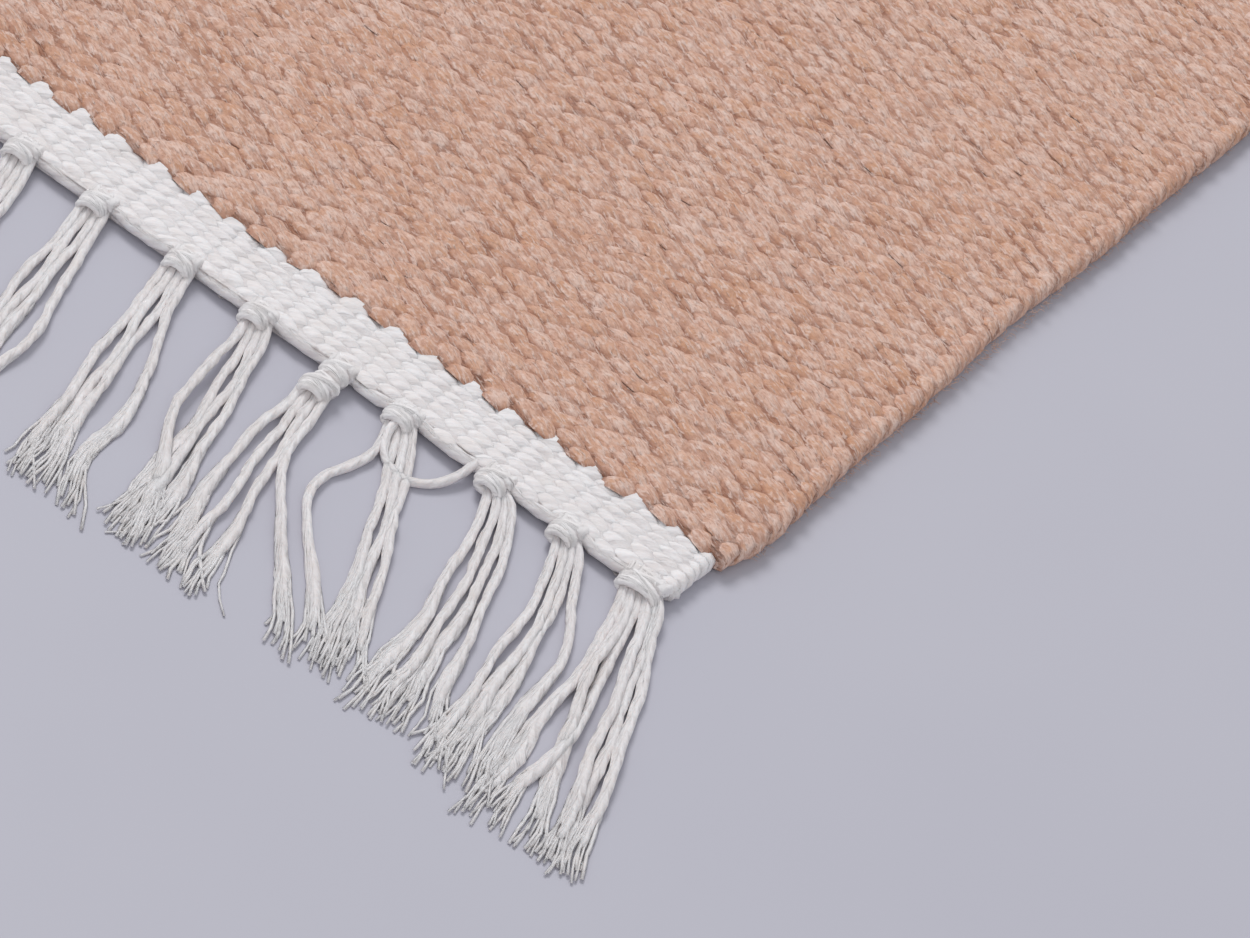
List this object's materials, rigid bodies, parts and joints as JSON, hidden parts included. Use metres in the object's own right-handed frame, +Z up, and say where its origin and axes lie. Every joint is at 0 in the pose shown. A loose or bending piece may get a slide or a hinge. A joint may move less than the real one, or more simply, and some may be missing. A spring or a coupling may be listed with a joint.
{
  "type": "dhurrie rug",
  "caption": "Flat-woven wool rug in dusty pink beige with a white cotton band and a knotted, swept cotton fringe along each short end.",
  "frame": {"origin": "on the floor, under the middle of the rug and its fringes", "axes": "+Z up out of the rug's face, Y along the warp and the rug's length, X along the weft; the front fringe is at -Y"},
  "size_m": [0.658, 1.0815, 0.0068],
  "materials": {
    "wool": "heathered hand-spun wool weft, matt",
    "cotton": "undyed white cotton yarn, matt"
  },
  "bodies": {
    "root": {"wool_field": "wool", "cotton_end_front": "cotton", "cotton_end_back": "cotton"}
  },
  "joints": []
}
